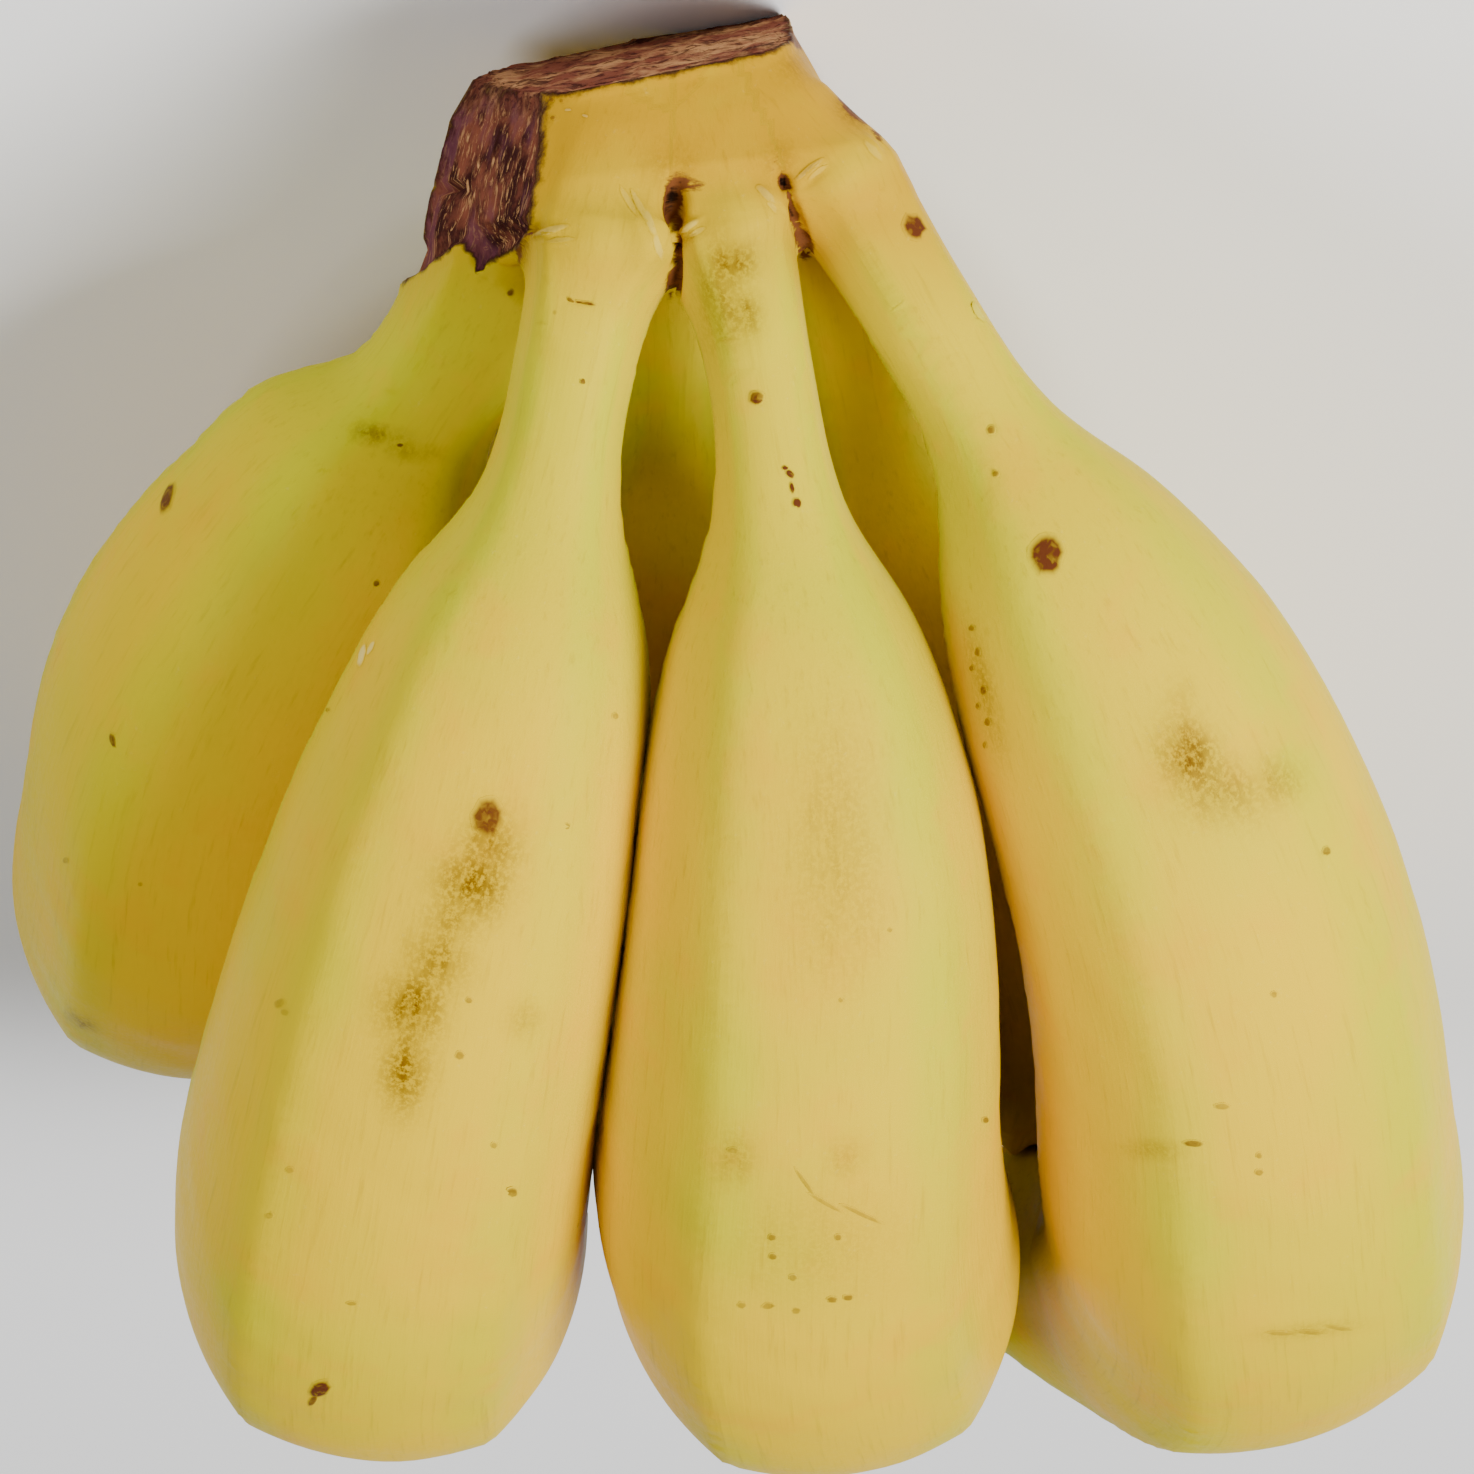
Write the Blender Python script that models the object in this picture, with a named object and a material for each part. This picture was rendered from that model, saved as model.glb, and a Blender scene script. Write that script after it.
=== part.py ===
"""A bunch of six bananas grown together on one crown, lying palm down on its crown and inner tips.

The bunch is shaped in the hand's own frame: +X across the hand, +Y from the fingers towards the
crown, +Z outwards, away from the palm. It is then laid down, crown towards -Y and +Z up. Metres.
"""

import math
from collections import namedtuple

import bmesh
import bpy
import numpy as np
from mathutils import Matrix

NAME = "banana_bunch"

# One row a finger: where its neck leaves the crown, the length of its centre line, how thick its
# neck and its body are next to the common profile, the share of its length that is neck, the curl
# of its neck and of its tip (degrees, 0 points straight away from the crown and 90 into the palm),
# its sideways lean at the quarters of its length (degrees), and how far its outer facet is turned
# about its axis (degrees).
Finger = namedtuple("Finger", "root length girth neck curl lean facet_turn")
FINGERS = {
    "outer_left": Finger(
        (-0.0128, 0.0510, 0.0), 0.190, (1.18, 1.06), 0.30,
        (0, 96), (-11, -14, -10, -1, 17), 5,
    ),
    "outer_middle": Finger(
        (-0.0010, 0.0500, 0.0), 0.189, (1.02, 1.05), 0.30,
        (-4, 100), (13, 5, -2, 5, -8), -8,
    ),
    "outer_right": Finger(
        (0.0108, 0.0550, -0.002), 0.2155, (0.915, 1.074), 0.264,
        (-4, 104.5), (32.5, 25.8, 6.6, -5.4, -99.4), -18,
    ),
    "inner_left": Finger(
        (-0.0222, 0.0480, -0.024), 0.155, (1.56, 1.01), 0.243,
        (17.4, 102), (-34.9, -31, -5.4, -4.9, 14.8), 5,
    ),
    "inner_middle": Finger(
        (-0.0070, 0.0520, -0.024), 0.146, (1.10, 0.95), 0.28,
        (17, 100), (4, -6, -5, 0, 0), 0,
    ),
    "inner_right": Finger(
        (0.0100, 0.0530, -0.024), 0.164, (1.10, 1.03), 0.28,
        (16, 100), (6, 19, 13, -5, -5), 0,
    ),
}
LEAN_AT = (0.0, 0.25, 0.5, 0.75, 1.0)

# The radius along a finger: a thin neck, a body that is thickest past its middle, a blunt tip.
PROFILE_AT = (0.0, 0.07, 0.15, 0.22, 0.30, 0.42, 0.55, 0.70, 0.85, 0.94, 1.0)
PROFILE_RADIUS = (
    0.0068, 0.0060, 0.0068, 0.0122, 0.0160, 0.0187, 0.0201, 0.0210, 0.0194, 0.0126, 0.0052
)
# The share of the profile's length that is neck.
PROFILE_NECK = 0.30
# How far a neck's end is sunk into the crown, and its radius there next to its first ring.
NECK_SINK = 0.009
NECK_SINK_TAPER = 0.55
# How much deeper than wide a neck is.
NECK_DEPTH = 1.25
# How strongly the five ridges show: 0 is a round section and 1 is a flat-sided one.
NECK_RIDGE = 0.55
BODY_RIDGE = 0.32

# The dry remains of the flower at each tip: its length and radius, and its two rings, each as a
# share of that length and of that radius.
BLOSSOM_LENGTH = 0.006
BLOSSOM_RADIUS = 0.0042
BLOSSOM_RINGS = ((0.25, 1.0), (1.0, 0.9))

RIDGES = 5
# Points round a finger, rings along it, how much closer the rings are at both its ends, and the
# steps in which its curved centre line is followed.
SIDES = 25
BODY_RINGS = 30
RING_CROWDING = 0.05
CURVE_STEPS = 240

# The crown's outline at five heights, each as its front left, front right, back right and back
# left corner. The first is the cut that took the hand off its stalk, which slopes.
CROWN_OUTLINES = (
    (
        (-0.0192, 0.0638, 0.0042),
        (0.0045, 0.0700, 0.0035),
        (0.0050, 0.0750, -0.0290),
        (-0.0275, 0.0692, -0.0280),
    ),
    (
        (-0.0194, 0.0590, 0.0065),
        (0.0088, 0.0640, 0.0060),
        (0.0096, 0.0660, -0.0300),
        (-0.0315, 0.0635, -0.0285),
    ),
    (
        (-0.0198, 0.0550, 0.0082),
        (0.0130, 0.0588, 0.0075),
        (0.0136, 0.0600, -0.0305),
        (-0.0332, 0.0570, -0.0290),
    ),
    (
        (-0.0210, 0.0515, 0.0076),
        (0.0155, 0.0548, 0.0060),
        (0.0158, 0.0550, -0.0300),
        (-0.0335, 0.0515, -0.0290),
    ),
    (
        (-0.0190, 0.0480, 0.0020),
        (0.0140, 0.0518, 0.0010),
        (0.0140, 0.0515, -0.0270),
        (-0.0295, 0.0470, -0.0260),
    ),
)
CROWN_SIDES = 32
# The power of the rounded outline: 2 is an ellipse, and a larger one has squarer corners.
CROWN_SQUARENESS = 6.0
# Faces of the crown whose normal points this far to the left belong to its cut side.
CUT_SIDE_FACES = -0.6

# How the bunch lies: turned about X and about the line of its fingers, then let down so far that
# the floor makes small flats where it touches.
LAY_PITCH = 53.6
LAY_ROLL = -1.3
FLAT_DEPTH = 0.0012
FLOOR_SIZE = 0.5

# Edges between faces that meet at more than this angle are drawn sharp (degrees).
SHARP_ANGLE = 40

# The material slots, in order: skin, cut crown, dry flower.
PEEL, CORK, BLOSSOM = range(3)
MATERIALS = (
    ("banana_peel", (0.70, 0.52, 0.06, 1.0), 0.45),
    ("cut_crown", (0.16, 0.08, 0.05, 1.0), 0.90),
    ("dry_blossom", (0.05, 0.03, 0.02, 1.0), 0.95),
)


def clear_scene():
    for old in list(bpy.data.objects):
        bpy.data.objects.remove(old, do_unlink=True)


def make_collection(name):
    collection = bpy.data.collections.new(name)
    bpy.context.scene.collection.children.link(collection)
    return collection


def make_materials():
    made = []
    for name, colour, roughness in MATERIALS:
        material = bpy.data.materials.new(name)
        material.use_nodes = True
        shader = material.node_tree.nodes["Principled BSDF"]
        shader.inputs["Base Color"].default_value = colour
        shader.inputs["Roughness"].default_value = roughness
        shader.inputs["Metallic"].default_value = 0.0
        made.append(material)
    return made


def smooth_curve(at, knots, values):
    """A smooth line through the values at the knots, read at the given places."""
    knots = np.asarray(knots, float)
    values = np.asarray(values, float)
    slopes = np.gradient(values, knots)
    left = np.clip(np.searchsorted(knots, at, side="right") - 1, 0, len(knots) - 2)
    width = knots[left + 1] - knots[left]
    t = (at - knots[left]) / width
    rise = values[left + 1] - values[left]
    start = slopes[left] * width - rise
    end = rise - slopes[left + 1] * width
    return values[left] + rise * t + t * (1 - t) * (start * (1 - t) + end * t)


def ring_stations():
    """Fractions of a finger's length, closer together at its neck and its tip."""
    even = np.linspace(0, 1, BODY_RINGS)
    return even - RING_CROWDING * np.sin(2 * math.pi * even)


def finger_frames(finger, stations):
    """Centre points, and directions along, across and outwards, at fractions of the length."""
    fine = np.linspace(0, 1, CURVE_STEPS)
    lean = np.radians(smooth_curve(fine, LEAN_AT, finger.lean))
    curl = np.radians(np.interp(fine, (0, 1), finger.curl))
    none = np.zeros_like(fine)
    aside, ahead = np.sin(lean), np.cos(lean)
    along = np.stack([aside, -ahead * np.cos(curl), -ahead * np.sin(curl)], 1)
    across = np.stack([ahead, aside * np.cos(curl), aside * np.sin(curl)], 1)
    outwards = np.stack([none, -np.sin(curl), np.cos(curl)], 1)
    steps = (along[1:] + along[:-1]) / 2 * finger.length / (CURVE_STEPS - 1)
    centre = np.array(finger.root) + np.vstack([np.zeros(3), np.cumsum(steps, axis=0)])
    lines = np.hstack([centre, along, across, outwards])
    read = np.stack([np.interp(stations, fine, column) for column in lines.T], 1)
    return np.split(read, 4, axis=1)


def ridged(angle, strength):
    """How far a five-ridged section stands out at an angle from one of its ridges."""
    facet = 2 * math.pi / RIDGES
    polygon = math.cos(facet / 2) / np.cos(np.mod(angle, facet) - facet / 2)
    mean = (1 + math.cos(facet / 2)) / 2
    return 1 + strength * (polygon - mean)


def finger_rings(finger):
    """The rings of points along one finger, from inside the crown to the end of its blossom."""
    stations = ring_stations()
    centre, along, across, outwards = finger_frames(finger, stations)
    profile_place = np.interp(stations, (0, finger.neck, 1), (0, PROFILE_NECK, 1))
    neck = np.clip(1 - stations / finger.neck, 0, 1)
    girth = finger.girth[1] + (finger.girth[0] - finger.girth[1]) * neck
    radius = smooth_curve(profile_place, PROFILE_AT, PROFILE_RADIUS) * girth
    strength = BODY_RIDGE + (NECK_RIDGE - BODY_RIDGE) * neck
    depth = 1 + (NECK_DEPTH - 1) * neck

    sunk = centre[0] - along[0] * NECK_SINK
    ends = [centre[-1] + along[-1] * BLOSSOM_LENGTH * share for share, _ in BLOSSOM_RINGS]
    end_radii = [BLOSSOM_RADIUS * share for _, share in BLOSSOM_RINGS]
    centre = np.vstack([sunk, centre, *ends])
    across = np.vstack([across[0], across, across[-1], across[-1]])
    outwards = np.vstack([outwards[0], outwards, outwards[-1], outwards[-1]])
    radius = np.concatenate([radius[:1] * NECK_SINK_TAPER, radius, end_radii])
    strength = np.concatenate([strength[:1], strength, [0.0, 0.0]])
    depth = np.concatenate([depth[:1], depth, [1.0, 1.0]])

    facet = 2 * math.pi / RIDGES
    first_ridge = math.pi / 2 + facet / 2 + math.radians(finger.facet_turn)
    turn = np.arange(SIDES) * 2 * math.pi / SIDES
    angle = first_ridge + turn
    reach = radius[:, None] * np.stack([ridged(turn, one) for one in strength])
    sideways = (reach * np.cos(angle))[..., None] * across[:, None]
    upwards = (reach * np.sin(angle) * depth[:, None])[..., None] * outwards[:, None]
    return centre[:, None] + sideways + upwards


def crown_rings():
    """Rounded four-cornered outlines from the cut end down to where the necks have parted."""
    turn = np.arange(CROWN_SIDES) * 2 * math.pi / CROWN_SIDES
    power = 2 / CROWN_SQUARENESS
    x = np.sign(np.cos(turn)) * np.abs(np.cos(turn)) ** power
    y = np.sign(np.sin(turn)) * np.abs(np.sin(turn)) ** power
    right = ((1 + x) / 2)[:, None]
    front = ((1 + y) / 2)[:, None]
    rings = []
    for front_left, front_right, back_right, back_left in np.array(CROWN_OUTLINES):
        fore = front_left + (front_right - front_left) * right
        rear = back_left + (back_right - back_left) * right
        rings.append(rear + (fore - rear) * front)
    return np.array(rings)


def loft(name, rings, collection, materials, end_slots):
    """A closed solid through rings of equal counts. end_slots are the slots of its two ends."""
    mesh = bmesh.new()
    verts = [[mesh.verts.new(point) for point in ring] for ring in rings]
    first_end, last_end = end_slots
    mesh.faces.new(verts[0]).material_index = first_end
    mesh.faces.new(verts[-1][::-1]).material_index = last_end
    for ring, following in zip(verts, verts[1:]):
        for i in range(len(ring)):
            after = (i + 1) % len(ring)
            mesh.faces.new((ring[i], following[i], following[after], ring[after]))
    if last_end == BLOSSOM:
        for face in mesh.faces:
            if all(vert in verts[-1] or vert in verts[-2] for vert in face.verts):
                face.material_index = BLOSSOM
    bmesh.ops.recalc_face_normals(mesh, faces=mesh.faces)
    data = bpy.data.meshes.new(name)
    mesh.to_mesh(data)
    mesh.free()
    for material in materials:
        data.materials.append(material)
    solid = bpy.data.objects.new(name, data)
    collection.objects.link(solid)
    return solid


def mark_cut_side(crown):
    """The crown's left side was cut too, where the hand was parted from its neighbour."""
    for face in crown.data.polygons:
        if face.normal.x < CUT_SIDE_FACES:
            face.material_index = CORK


def lay_down():
    """From the hand's frame to the lying bunch, before it is let down onto the floor."""
    pitch = Matrix.Rotation(math.radians(-LAY_PITCH), 4, "X")
    about = Matrix.Rotation(math.pi, 4, "Z")
    roll = Matrix.Rotation(math.radians(LAY_ROLL), 4, "Y")
    return roll @ about @ pitch


def apply_modifiers(solid):
    graph = bpy.context.evaluated_depsgraph_get()
    mesh = bpy.data.meshes.new_from_object(solid.evaluated_get(graph))
    solid.modifiers.clear()
    solid.data = mesh


def join_to(body, others):
    union = body.modifiers.new("grown_together", "BOOLEAN")
    union.operation = "UNION"
    union.operand_type = "COLLECTION"
    union.collection = others
    apply_modifiers(body)
    for part in list(others.objects):
        bpy.data.objects.remove(part, do_unlink=True)
    bpy.data.collections.remove(others)


def flatten_underneath(body, cutters):
    """Lets the bunch down by the depth of its flats and cuts off what is below the floor."""
    lowest = min((body.matrix_world @ vert.co).z for vert in body.data.vertices)
    body.data.transform(Matrix.Translation((0, 0, -lowest - FLAT_DEPTH)))
    bpy.ops.mesh.primitive_cube_add(size=FLOOR_SIZE, location=(0, 0, -FLOOR_SIZE / 2))
    floor = bpy.context.active_object
    floor.name = "floor_cutter"
    for old in list(floor.users_collection):
        old.objects.unlink(floor)
    cutters.objects.link(floor)
    floor.hide_render = True
    floor.display_type = "WIRE"
    bpy.context.view_layer.update()
    cut = body.modifiers.new("floor_flats", "BOOLEAN")
    cut.operation = "DIFFERENCE"
    cut.object = floor
    apply_modifiers(body)


def centre_on_origin(body):
    """Puts the middle of the bounding box's underside at the origin."""
    points = np.array([vert.co for vert in body.data.vertices])
    middle = (points.min(axis=0) + points.max(axis=0)) / 2
    body.data.transform(Matrix.Translation((-middle[0], -middle[1], 0)))


def main():
    clear_scene()
    bunch = make_collection(NAME)
    cutters = make_collection("cutters")
    fingers = make_collection("fingers")
    materials = make_materials()

    body = loft(NAME, crown_rings(), bunch, materials, (CORK, PEEL))
    mark_cut_side(body)
    for name, finger in FINGERS.items():
        loft(name, finger_rings(finger), fingers, materials, (PEEL, BLOSSOM))
    join_to(body, fingers)

    body.data.transform(lay_down())
    flatten_underneath(body, cutters)
    centre_on_origin(body)
    body.data.shade_smooth()
    body.data.set_sharp_from_angle(angle=math.radians(SHARP_ANGLE))


main()
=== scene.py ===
"""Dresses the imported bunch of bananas: its peel and cut crown, the marks on the skin, the dry
blossom ends, and a pale floor, soft lights and a camera at the photograph's viewing angle.

The peel is shaped in the hand's own frame, as in the part's source: +X across the hand, +Y from
the fingers towards the crown, +Z outwards. It is then laid down where the solid lies. Metres.
"""

import math
from collections import namedtuple

import bmesh
import bpy
import numpy as np
from mathutils import Matrix, Vector
from mathutils.bvhtree import BVHTree


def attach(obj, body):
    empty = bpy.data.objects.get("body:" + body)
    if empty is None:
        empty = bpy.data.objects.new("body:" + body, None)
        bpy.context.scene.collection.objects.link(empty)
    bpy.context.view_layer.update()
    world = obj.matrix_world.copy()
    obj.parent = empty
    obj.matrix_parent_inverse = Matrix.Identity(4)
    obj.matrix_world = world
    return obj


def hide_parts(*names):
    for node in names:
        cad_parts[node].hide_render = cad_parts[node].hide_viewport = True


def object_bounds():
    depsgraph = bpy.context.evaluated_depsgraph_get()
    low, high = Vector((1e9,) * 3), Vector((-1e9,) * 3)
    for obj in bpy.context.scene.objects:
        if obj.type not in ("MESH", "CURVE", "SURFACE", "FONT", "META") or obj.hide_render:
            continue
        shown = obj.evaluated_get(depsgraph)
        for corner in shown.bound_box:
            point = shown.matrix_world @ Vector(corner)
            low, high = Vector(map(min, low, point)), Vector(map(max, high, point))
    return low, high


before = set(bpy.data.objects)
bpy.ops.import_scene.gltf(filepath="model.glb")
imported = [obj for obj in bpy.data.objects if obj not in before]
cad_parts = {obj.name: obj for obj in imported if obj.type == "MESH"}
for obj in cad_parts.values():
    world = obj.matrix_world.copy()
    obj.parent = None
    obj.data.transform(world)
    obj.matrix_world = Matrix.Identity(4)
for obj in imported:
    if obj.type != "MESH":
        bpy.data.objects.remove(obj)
CAD_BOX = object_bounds()

# The shape, with the same values as the part's source, but for two necks (NECK_FITS). A finger has
# its root, its length along the curve, its girth at the neck and at the body against the profile,
# the share of it that is neck, its curl and its lean along it in degrees, and its facets' turn.
Finger = namedtuple("Finger", "root length girth neck curl lean facet_turn")
FINGERS = {
    "outer_left": Finger(
        (-0.0128, 0.0510, 0.0), 0.190, (1.18, 1.06), 0.30,
        (0, 96), (-11, -14, -10, -1, 17), 5,
    ),
    "outer_middle": Finger(
        (-0.0010, 0.0500, 0.0), 0.189, (1.02, 1.05), 0.30,
        (-4, 100), (13, 5, -2, 5, -8), -8,
    ),
    "outer_right": Finger(
        (0.0108, 0.0550, -0.002), 0.2155, (0.915, 1.074), 0.264,
        (-4, 104.5), (32.5, 25.8, 6.6, -5.4, -99.4), -18,
    ),
    "inner_left": Finger(
        (-0.0222, 0.0480, -0.024), 0.155, (1.56, 1.01), 0.243,
        (17.4, 102), (-34.9, -31, -5.4, -4.9, 14.8), 5,
    ),
    "inner_middle": Finger(
        (-0.0070, 0.0520, -0.024), 0.146, (1.10, 0.95), 0.28,
        (17, 100), (4, -6, -5, 0, 0), 0,
    ),
    "inner_right": Finger(
        (0.0100, 0.0530, -0.024), 0.164, (1.10, 1.03), 0.28,
        (16, 100), (6, 19, 13, -5, -5), 0,
    ),
}
# How much slimmer these two necks are here, and how far they are moved across, so that the gap
# between them opens right under the crown, and the shares of the length where this comes and goes.
NECK_FITS = {"outer_left": (0.0007, -0.0007), "outer_middle": (0.0007, 0.0006)}
NECK_FIT_FROM = (0.0, 0.05)
NECK_FIT_TO = (0.07, 0.17)
LEAN_AT = (0.0, 0.25, 0.5, 0.75, 1.0)
PROFILE_AT = (0.0, 0.07, 0.15, 0.22, 0.30, 0.42, 0.55, 0.70, 0.85, 0.94, 1.0)
PROFILE_RADIUS = (
    0.0068, 0.0060, 0.0068, 0.0122, 0.0160, 0.0187, 0.0201, 0.0210, 0.0194, 0.0126, 0.0052
)
PROFILE_NECK = 0.30
NECK_SINK = 0.009
NECK_SINK_TAPER = 0.55
NECK_DEPTH = 1.25
NECK_RIDGE = 0.55
BODY_RIDGE = 0.32
BLOSSOM_LENGTH = 0.006
BLOSSOM_RADIUS = 0.0042
BLOSSOM_RINGS = ((0.25, 1.0), (1.0, 0.9))
RIDGES = 5
CURVE_STEPS = 240
RING_CROWDING = 0.05
CROWN_OUTLINES = (
    (
        (-0.0192, 0.0638, 0.0042),
        (0.0045, 0.0700, 0.0035),
        (0.0050, 0.0750, -0.0290),
        (-0.0275, 0.0692, -0.0280),
    ),
    (
        (-0.0194, 0.0590, 0.0065),
        (0.0088, 0.0640, 0.0060),
        (0.0096, 0.0660, -0.0300),
        (-0.0315, 0.0635, -0.0285),
    ),
    (
        (-0.0198, 0.0550, 0.0082),
        (0.0130, 0.0588, 0.0075),
        (0.0136, 0.0600, -0.0305),
        (-0.0332, 0.0570, -0.0290),
    ),
    (
        (-0.0210, 0.0515, 0.0076),
        (0.0155, 0.0548, 0.0060),
        (0.0158, 0.0550, -0.0300),
        (-0.0335, 0.0515, -0.0290),
    ),
    (
        (-0.0190, 0.0480, 0.0020),
        (0.0140, 0.0518, 0.0010),
        (0.0140, 0.0515, -0.0270),
        (-0.0295, 0.0470, -0.0260),
    ),
)
CROWN_SQUARENESS = 6.0
LAY_PITCH = 53.6
LAY_ROLL = -1.3
FLAT_DEPTH = 0.0012

# The solid's counts round a finger, along it and round the crown, and the finer ones used here.
SOLID_COUNTS = (25, 30, 32)
FINE_COUNTS = (90, 150, 128)

# How finely the skin is meshed, how far its joints are rounded, and how high the zone round the
# crown starts that is meshed twice as finely.
SKIN_STEP = 0.0015
CROWN_FILLET = 0.0032
NECK_FILLET = 0.0008
FINE_FROM = 0.040
FINEST_BOX = ((-0.022, 0.043, -0.008), (0.020, 0.060, 0.03))
# Above this the skin is that of the crown and the necks joined. Below it each finger has its own.
JOINED_FROM = 0.030
# Above this the skin has the material with scars and cork. Below it there are none.
CROWN_SKIN_FROM = 0.035
# The fingers are slimmed by this much while they are meshed, so that those that touch aren't
# joined, and between these shares of their length it comes on.
SLIMMING = 0.0016
SLIMMED_FROM = (0.0, 0.06)
# The fillet between necks where the joined skin starts, and the height over which it grows.
LEAST_FILLET = 0.0002
FILLET_GROWS_OVER = 0.015
# Nearer to a surface than this, a point takes the direction of the surface itself.
ON_SURFACE = 2e-5
# Steps along a finger when places on it are looked up.
PLACE_STEPS = 161

# The photograph's camera in the hand's frame: its distance, and its focal length and half width
# in pixels.
CAMERA_DISTANCE = 1.0
FOCAL_PIXELS = 10000.0
PHOTO_SIZE = 1474
MIDDLE_PIXEL = PHOTO_SIZE / 2
SENSOR = 36.0
# How far behind the first surface on its line of sight a point may lie and still count as seen,
# and how far past the point that line is followed.
SEEN_WITHIN = 0.003
SIGHT_PAST = 0.01


def smooth_curve(at, knots, values):
    """A smooth line through the values at the knots, read at the given places."""
    knots = np.asarray(knots, float)
    values = np.asarray(values, float)
    slopes = np.gradient(values, knots)
    left = np.clip(np.searchsorted(knots, at, side="right") - 1, 0, len(knots) - 2)
    width = knots[left + 1] - knots[left]
    t = (at - knots[left]) / width
    rise = values[left + 1] - values[left]
    start = slopes[left] * width - rise
    end = rise - slopes[left + 1] * width
    return values[left] + rise * t + t * (1 - t) * (start * (1 - t) + end * t)


def smooth_step(value, low, high):
    t = np.clip((value - low) / (high - low), 0, 1)
    return t * t * (3 - 2 * t)


def finger_frames(finger, stations):
    """Centre points, and directions along, across and outwards, at fractions of the length."""
    fine = np.linspace(0, 1, CURVE_STEPS)
    lean = np.radians(smooth_curve(fine, LEAN_AT, finger.lean))
    curl = np.radians(np.interp(fine, (0, 1), finger.curl))
    none = np.zeros_like(fine)
    aside, ahead = np.sin(lean), np.cos(lean)
    along = np.stack([aside, -ahead * np.cos(curl), -ahead * np.sin(curl)], 1)
    across = np.stack([ahead, aside * np.cos(curl), aside * np.sin(curl)], 1)
    outwards = np.stack([none, -np.sin(curl), np.cos(curl)], 1)
    steps = (along[1:] + along[:-1]) / 2 * finger.length / (CURVE_STEPS - 1)
    centre = np.array(finger.root) + np.vstack([np.zeros(3), np.cumsum(steps, axis=0)])
    lines = np.hstack([centre, along, across, outwards])
    read = np.stack([np.interp(stations, fine, column) for column in lines.T], 1)
    return np.split(read, 4, axis=1)


def ridged(angle, strength):
    """How far a five-ridged section stands out at an angle from one of its ridges."""
    facet = 2 * math.pi / RIDGES
    polygon = math.cos(facet / 2) / np.cos(np.mod(angle, facet) - facet / 2)
    mean = (1 + math.cos(facet / 2)) / 2
    return 1 + strength * (polygon - mean)


def first_ridge(finger):
    return math.pi / 2 + math.pi / RIDGES + math.radians(finger.facet_turn)


def neck_fit(finger):
    """How much slimmer a finger's neck is than the solid's, and how far it is moved across."""
    for name, fit in NECK_FITS.items():
        if FINGERS[name] == finger:
            return fit
    return 0.0, 0.0


def finger_rings(finger, sides, rings, with_blossom, slimming=0.0):
    """The rings of points along one finger, from inside the crown to its tip."""
    even = np.linspace(0, 1, rings)
    stations = even - RING_CROWDING * np.sin(2 * math.pi * even)
    centre, along, across, outwards = finger_frames(finger, stations)
    profile_place = np.interp(stations, (0, finger.neck, 1), (0, PROFILE_NECK, 1))
    neck = np.clip(1 - stations / finger.neck, 0, 1)
    girth = finger.girth[1] + (finger.girth[0] - finger.girth[1]) * neck
    radius = smooth_curve(profile_place, PROFILE_AT, PROFILE_RADIUS) * girth
    radius -= slimming * smooth_step(stations, *SLIMMED_FROM)
    slimmer, moved = neck_fit(finger)
    fitted = smooth_step(stations, *NECK_FIT_FROM) * (1 - smooth_step(stations, *NECK_FIT_TO))
    radius -= slimmer * fitted
    centre = centre + across * (moved * fitted)[:, None]
    strength = BODY_RIDGE + (NECK_RIDGE - BODY_RIDGE) * neck
    depth = 1 + (NECK_DEPTH - 1) * neck

    ends = BLOSSOM_RINGS if with_blossom else ()
    sunk = centre[0] - along[0] * NECK_SINK
    end_centres = [centre[-1] + along[-1] * BLOSSOM_LENGTH * share for share, _ in ends]
    end_radii = [BLOSSOM_RADIUS * share for _, share in ends]
    centre = np.vstack([sunk, centre, *end_centres])
    across = np.vstack([across[:1], across] + [across[-1:]] * len(ends))
    outwards = np.vstack([outwards[:1], outwards] + [outwards[-1:]] * len(ends))
    radius = np.concatenate([radius[:1] * NECK_SINK_TAPER, radius, end_radii])
    strength = np.concatenate([strength[:1], strength, np.zeros(len(ends))])
    depth = np.concatenate([depth[:1], depth, np.ones(len(ends))])

    turn = np.arange(sides) * 2 * math.pi / sides
    angle = first_ridge(finger) + turn
    reach = radius[:, None] * np.stack([ridged(turn, one) for one in strength])
    sideways = (reach * np.cos(angle))[..., None] * across[:, None]
    upwards = (reach * np.sin(angle) * depth[:, None])[..., None] * outwards[:, None]
    return centre[:, None] + sideways + upwards


def crown_rings(sides):
    """Rounded four-cornered outlines from the cut end down to where the necks have parted."""
    turn = np.arange(sides) * 2 * math.pi / sides
    power = 2 / CROWN_SQUARENESS
    x = np.sign(np.cos(turn)) * np.abs(np.cos(turn)) ** power
    y = np.sign(np.sin(turn)) * np.abs(np.sin(turn)) ** power
    right = ((1 + x) / 2)[:, None]
    front = ((1 + y) / 2)[:, None]
    rings = []
    for front_left, front_right, back_right, back_left in np.array(CROWN_OUTLINES):
        fore = front_left + (front_right - front_left) * right
        rear = back_left + (back_right - back_left) * right
        rings.append(rear + (fore - rear) * front)
    return np.array(rings)


def lay_down():
    """From the hand's frame to the lying bunch, before it is let down onto the floor."""
    pitch = Matrix.Rotation(math.radians(-LAY_PITCH), 4, "X")
    about = Matrix.Rotation(math.pi, 4, "Z")
    roll = Matrix.Rotation(math.radians(LAY_ROLL), 4, "Y")
    return roll @ about @ pitch


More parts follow.
